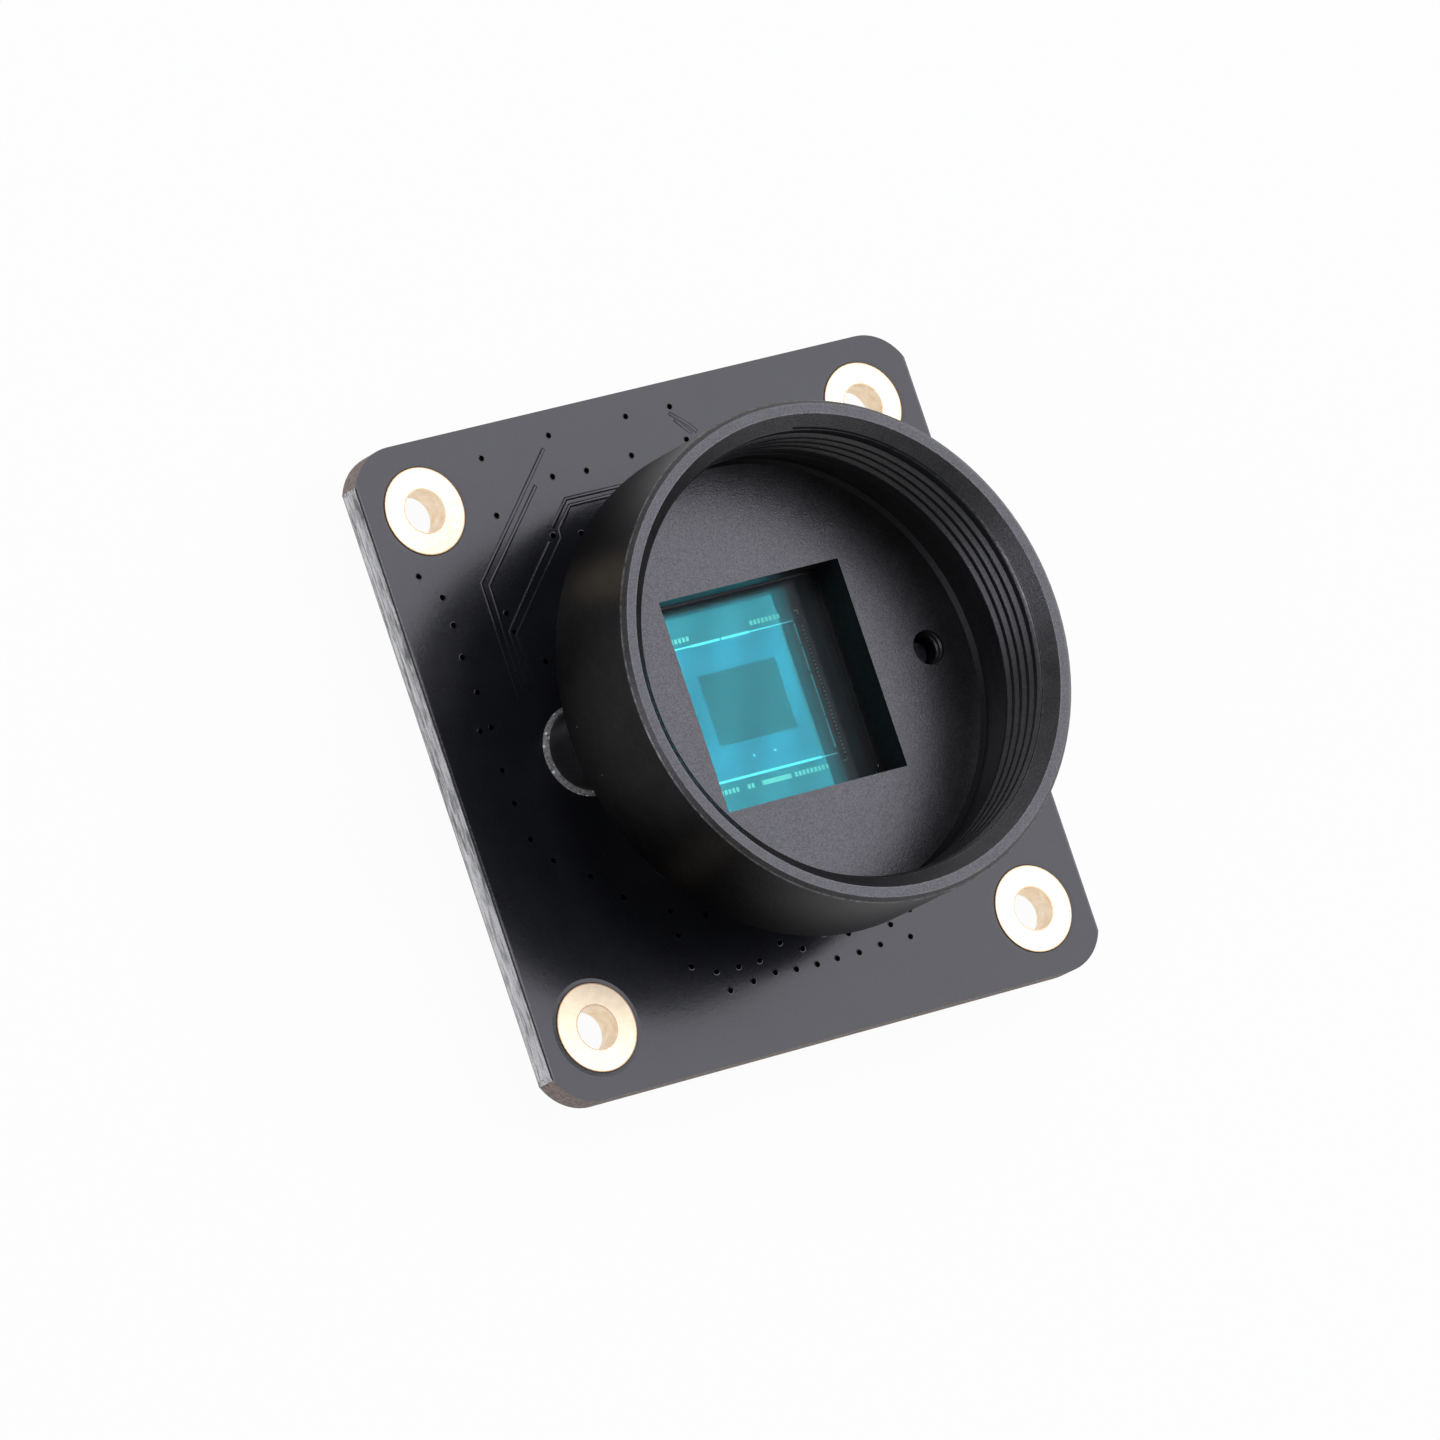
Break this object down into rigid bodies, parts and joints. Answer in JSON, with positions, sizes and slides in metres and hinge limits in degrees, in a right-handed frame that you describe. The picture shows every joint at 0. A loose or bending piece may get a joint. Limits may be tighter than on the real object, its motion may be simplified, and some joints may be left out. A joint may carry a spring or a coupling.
{
  "type": "camera module",
  "caption": "Square circuit board with a threaded metal lens mount over an image sensor behind a blue-green filter, and a locking flat-cable connector on its back.",
  "frame": {"origin": "on the optical axis, in the plane of the board's back face, at the centre of its four corner holes", "axes": "+Z along the optical axis out of the lens mount; +X across the board; +Y up the board, away from the cable connector"},
  "size_m": [0.038, 0.038, 0.0173],
  "materials": {
    "circuit_board": "black solder mask over glass-fibre laminate",
    "plated_holes": "pale gold plating",
    "lens_mount": "black satin anodised",
    "mount_screws": "black zinc",
    "filter_glass": "blue-green filter glass",
    "filter_adhesive": "black cured adhesive",
    "sensor_package": "dark ceramic",
    "sensor_die": "etched silicon",
    "sensor_glass": "clear cover glass",
    "sensor_solder": "solder",
    "connector_housing": "cream moulding",
    "connector_contacts": "gold-flashed spring alloy",
    "connector_anchors": "tinned",
    "connector_slider": "black moulding",
    "capacitor_bodies": "tan ceramic",
    "capacitor_ends": "tinned",
    "resistor_bodies": "black glaze",
    "resistor_ends": "tinned",
    "bead_bodies": "dark ferrite",
    "bead_ends": "tinned",
    "reservoir_bodies": "tan ceramic",
    "reservoir_ends": "tinned",
    "regulator_bodies": "black moulding compound",
    "regulator_leads": "tinned",
    "memory_chip": "black moulding compound",
    "memory_chip_leads": "tinned",
    "oscillator_base": "dark ceramic",
    "oscillator_lid": "nickel plated",
    "control_chip": "black moulding compound",
    "control_chip_lands": "tinned"
  },
  "bodies": {
    "module": {"circuit_board": "circuit_board", "plated_holes": "plated_holes", "lens_mount": "lens_mount", "mount_screws": "mount_screws", "filter_glass": "filter_glass", "filter_adhesive": "filter_adhesive", "sensor_package": "sensor_package", "sensor_die": "sensor_die", "sensor_glass": "sensor_glass", "sensor_solder": "sensor_solder", "connector_housing": "connector_housing", "connector_contacts": "connector_contacts", "connector_anchors": "connector_anchors", "capacitor_bodies": "capacitor_bodies", "capacitor_ends": "capacitor_ends", "resistor_bodies": "resistor_bodies", "resistor_ends": "resistor_ends", "bead_bodies": "bead_bodies", "bead_ends": "bead_ends", "reservoir_bodies": "reservoir_bodies", "reservoir_ends": "reservoir_ends", "regulator_bodies": "regulator_bodies", "regulator_leads": "regulator_leads", "memory_chip": "memory_chip", "memory_chip_leads": "memory_chip_leads", "oscillator_base": "oscillator_base", "oscillator_lid": "oscillator_lid", "control_chip": "control_chip", "control_chip_lands": "control_chip_lands"},
    "slider": {"connector_slider": "connector_slider"}
  },
  "joints": [
    {"name": "cable_lock_slide", "type": "slide", "parent": "module", "child": "slider", "axis": [0, -1, 0], "range_m": [0, 0.0012]}
  ]
}
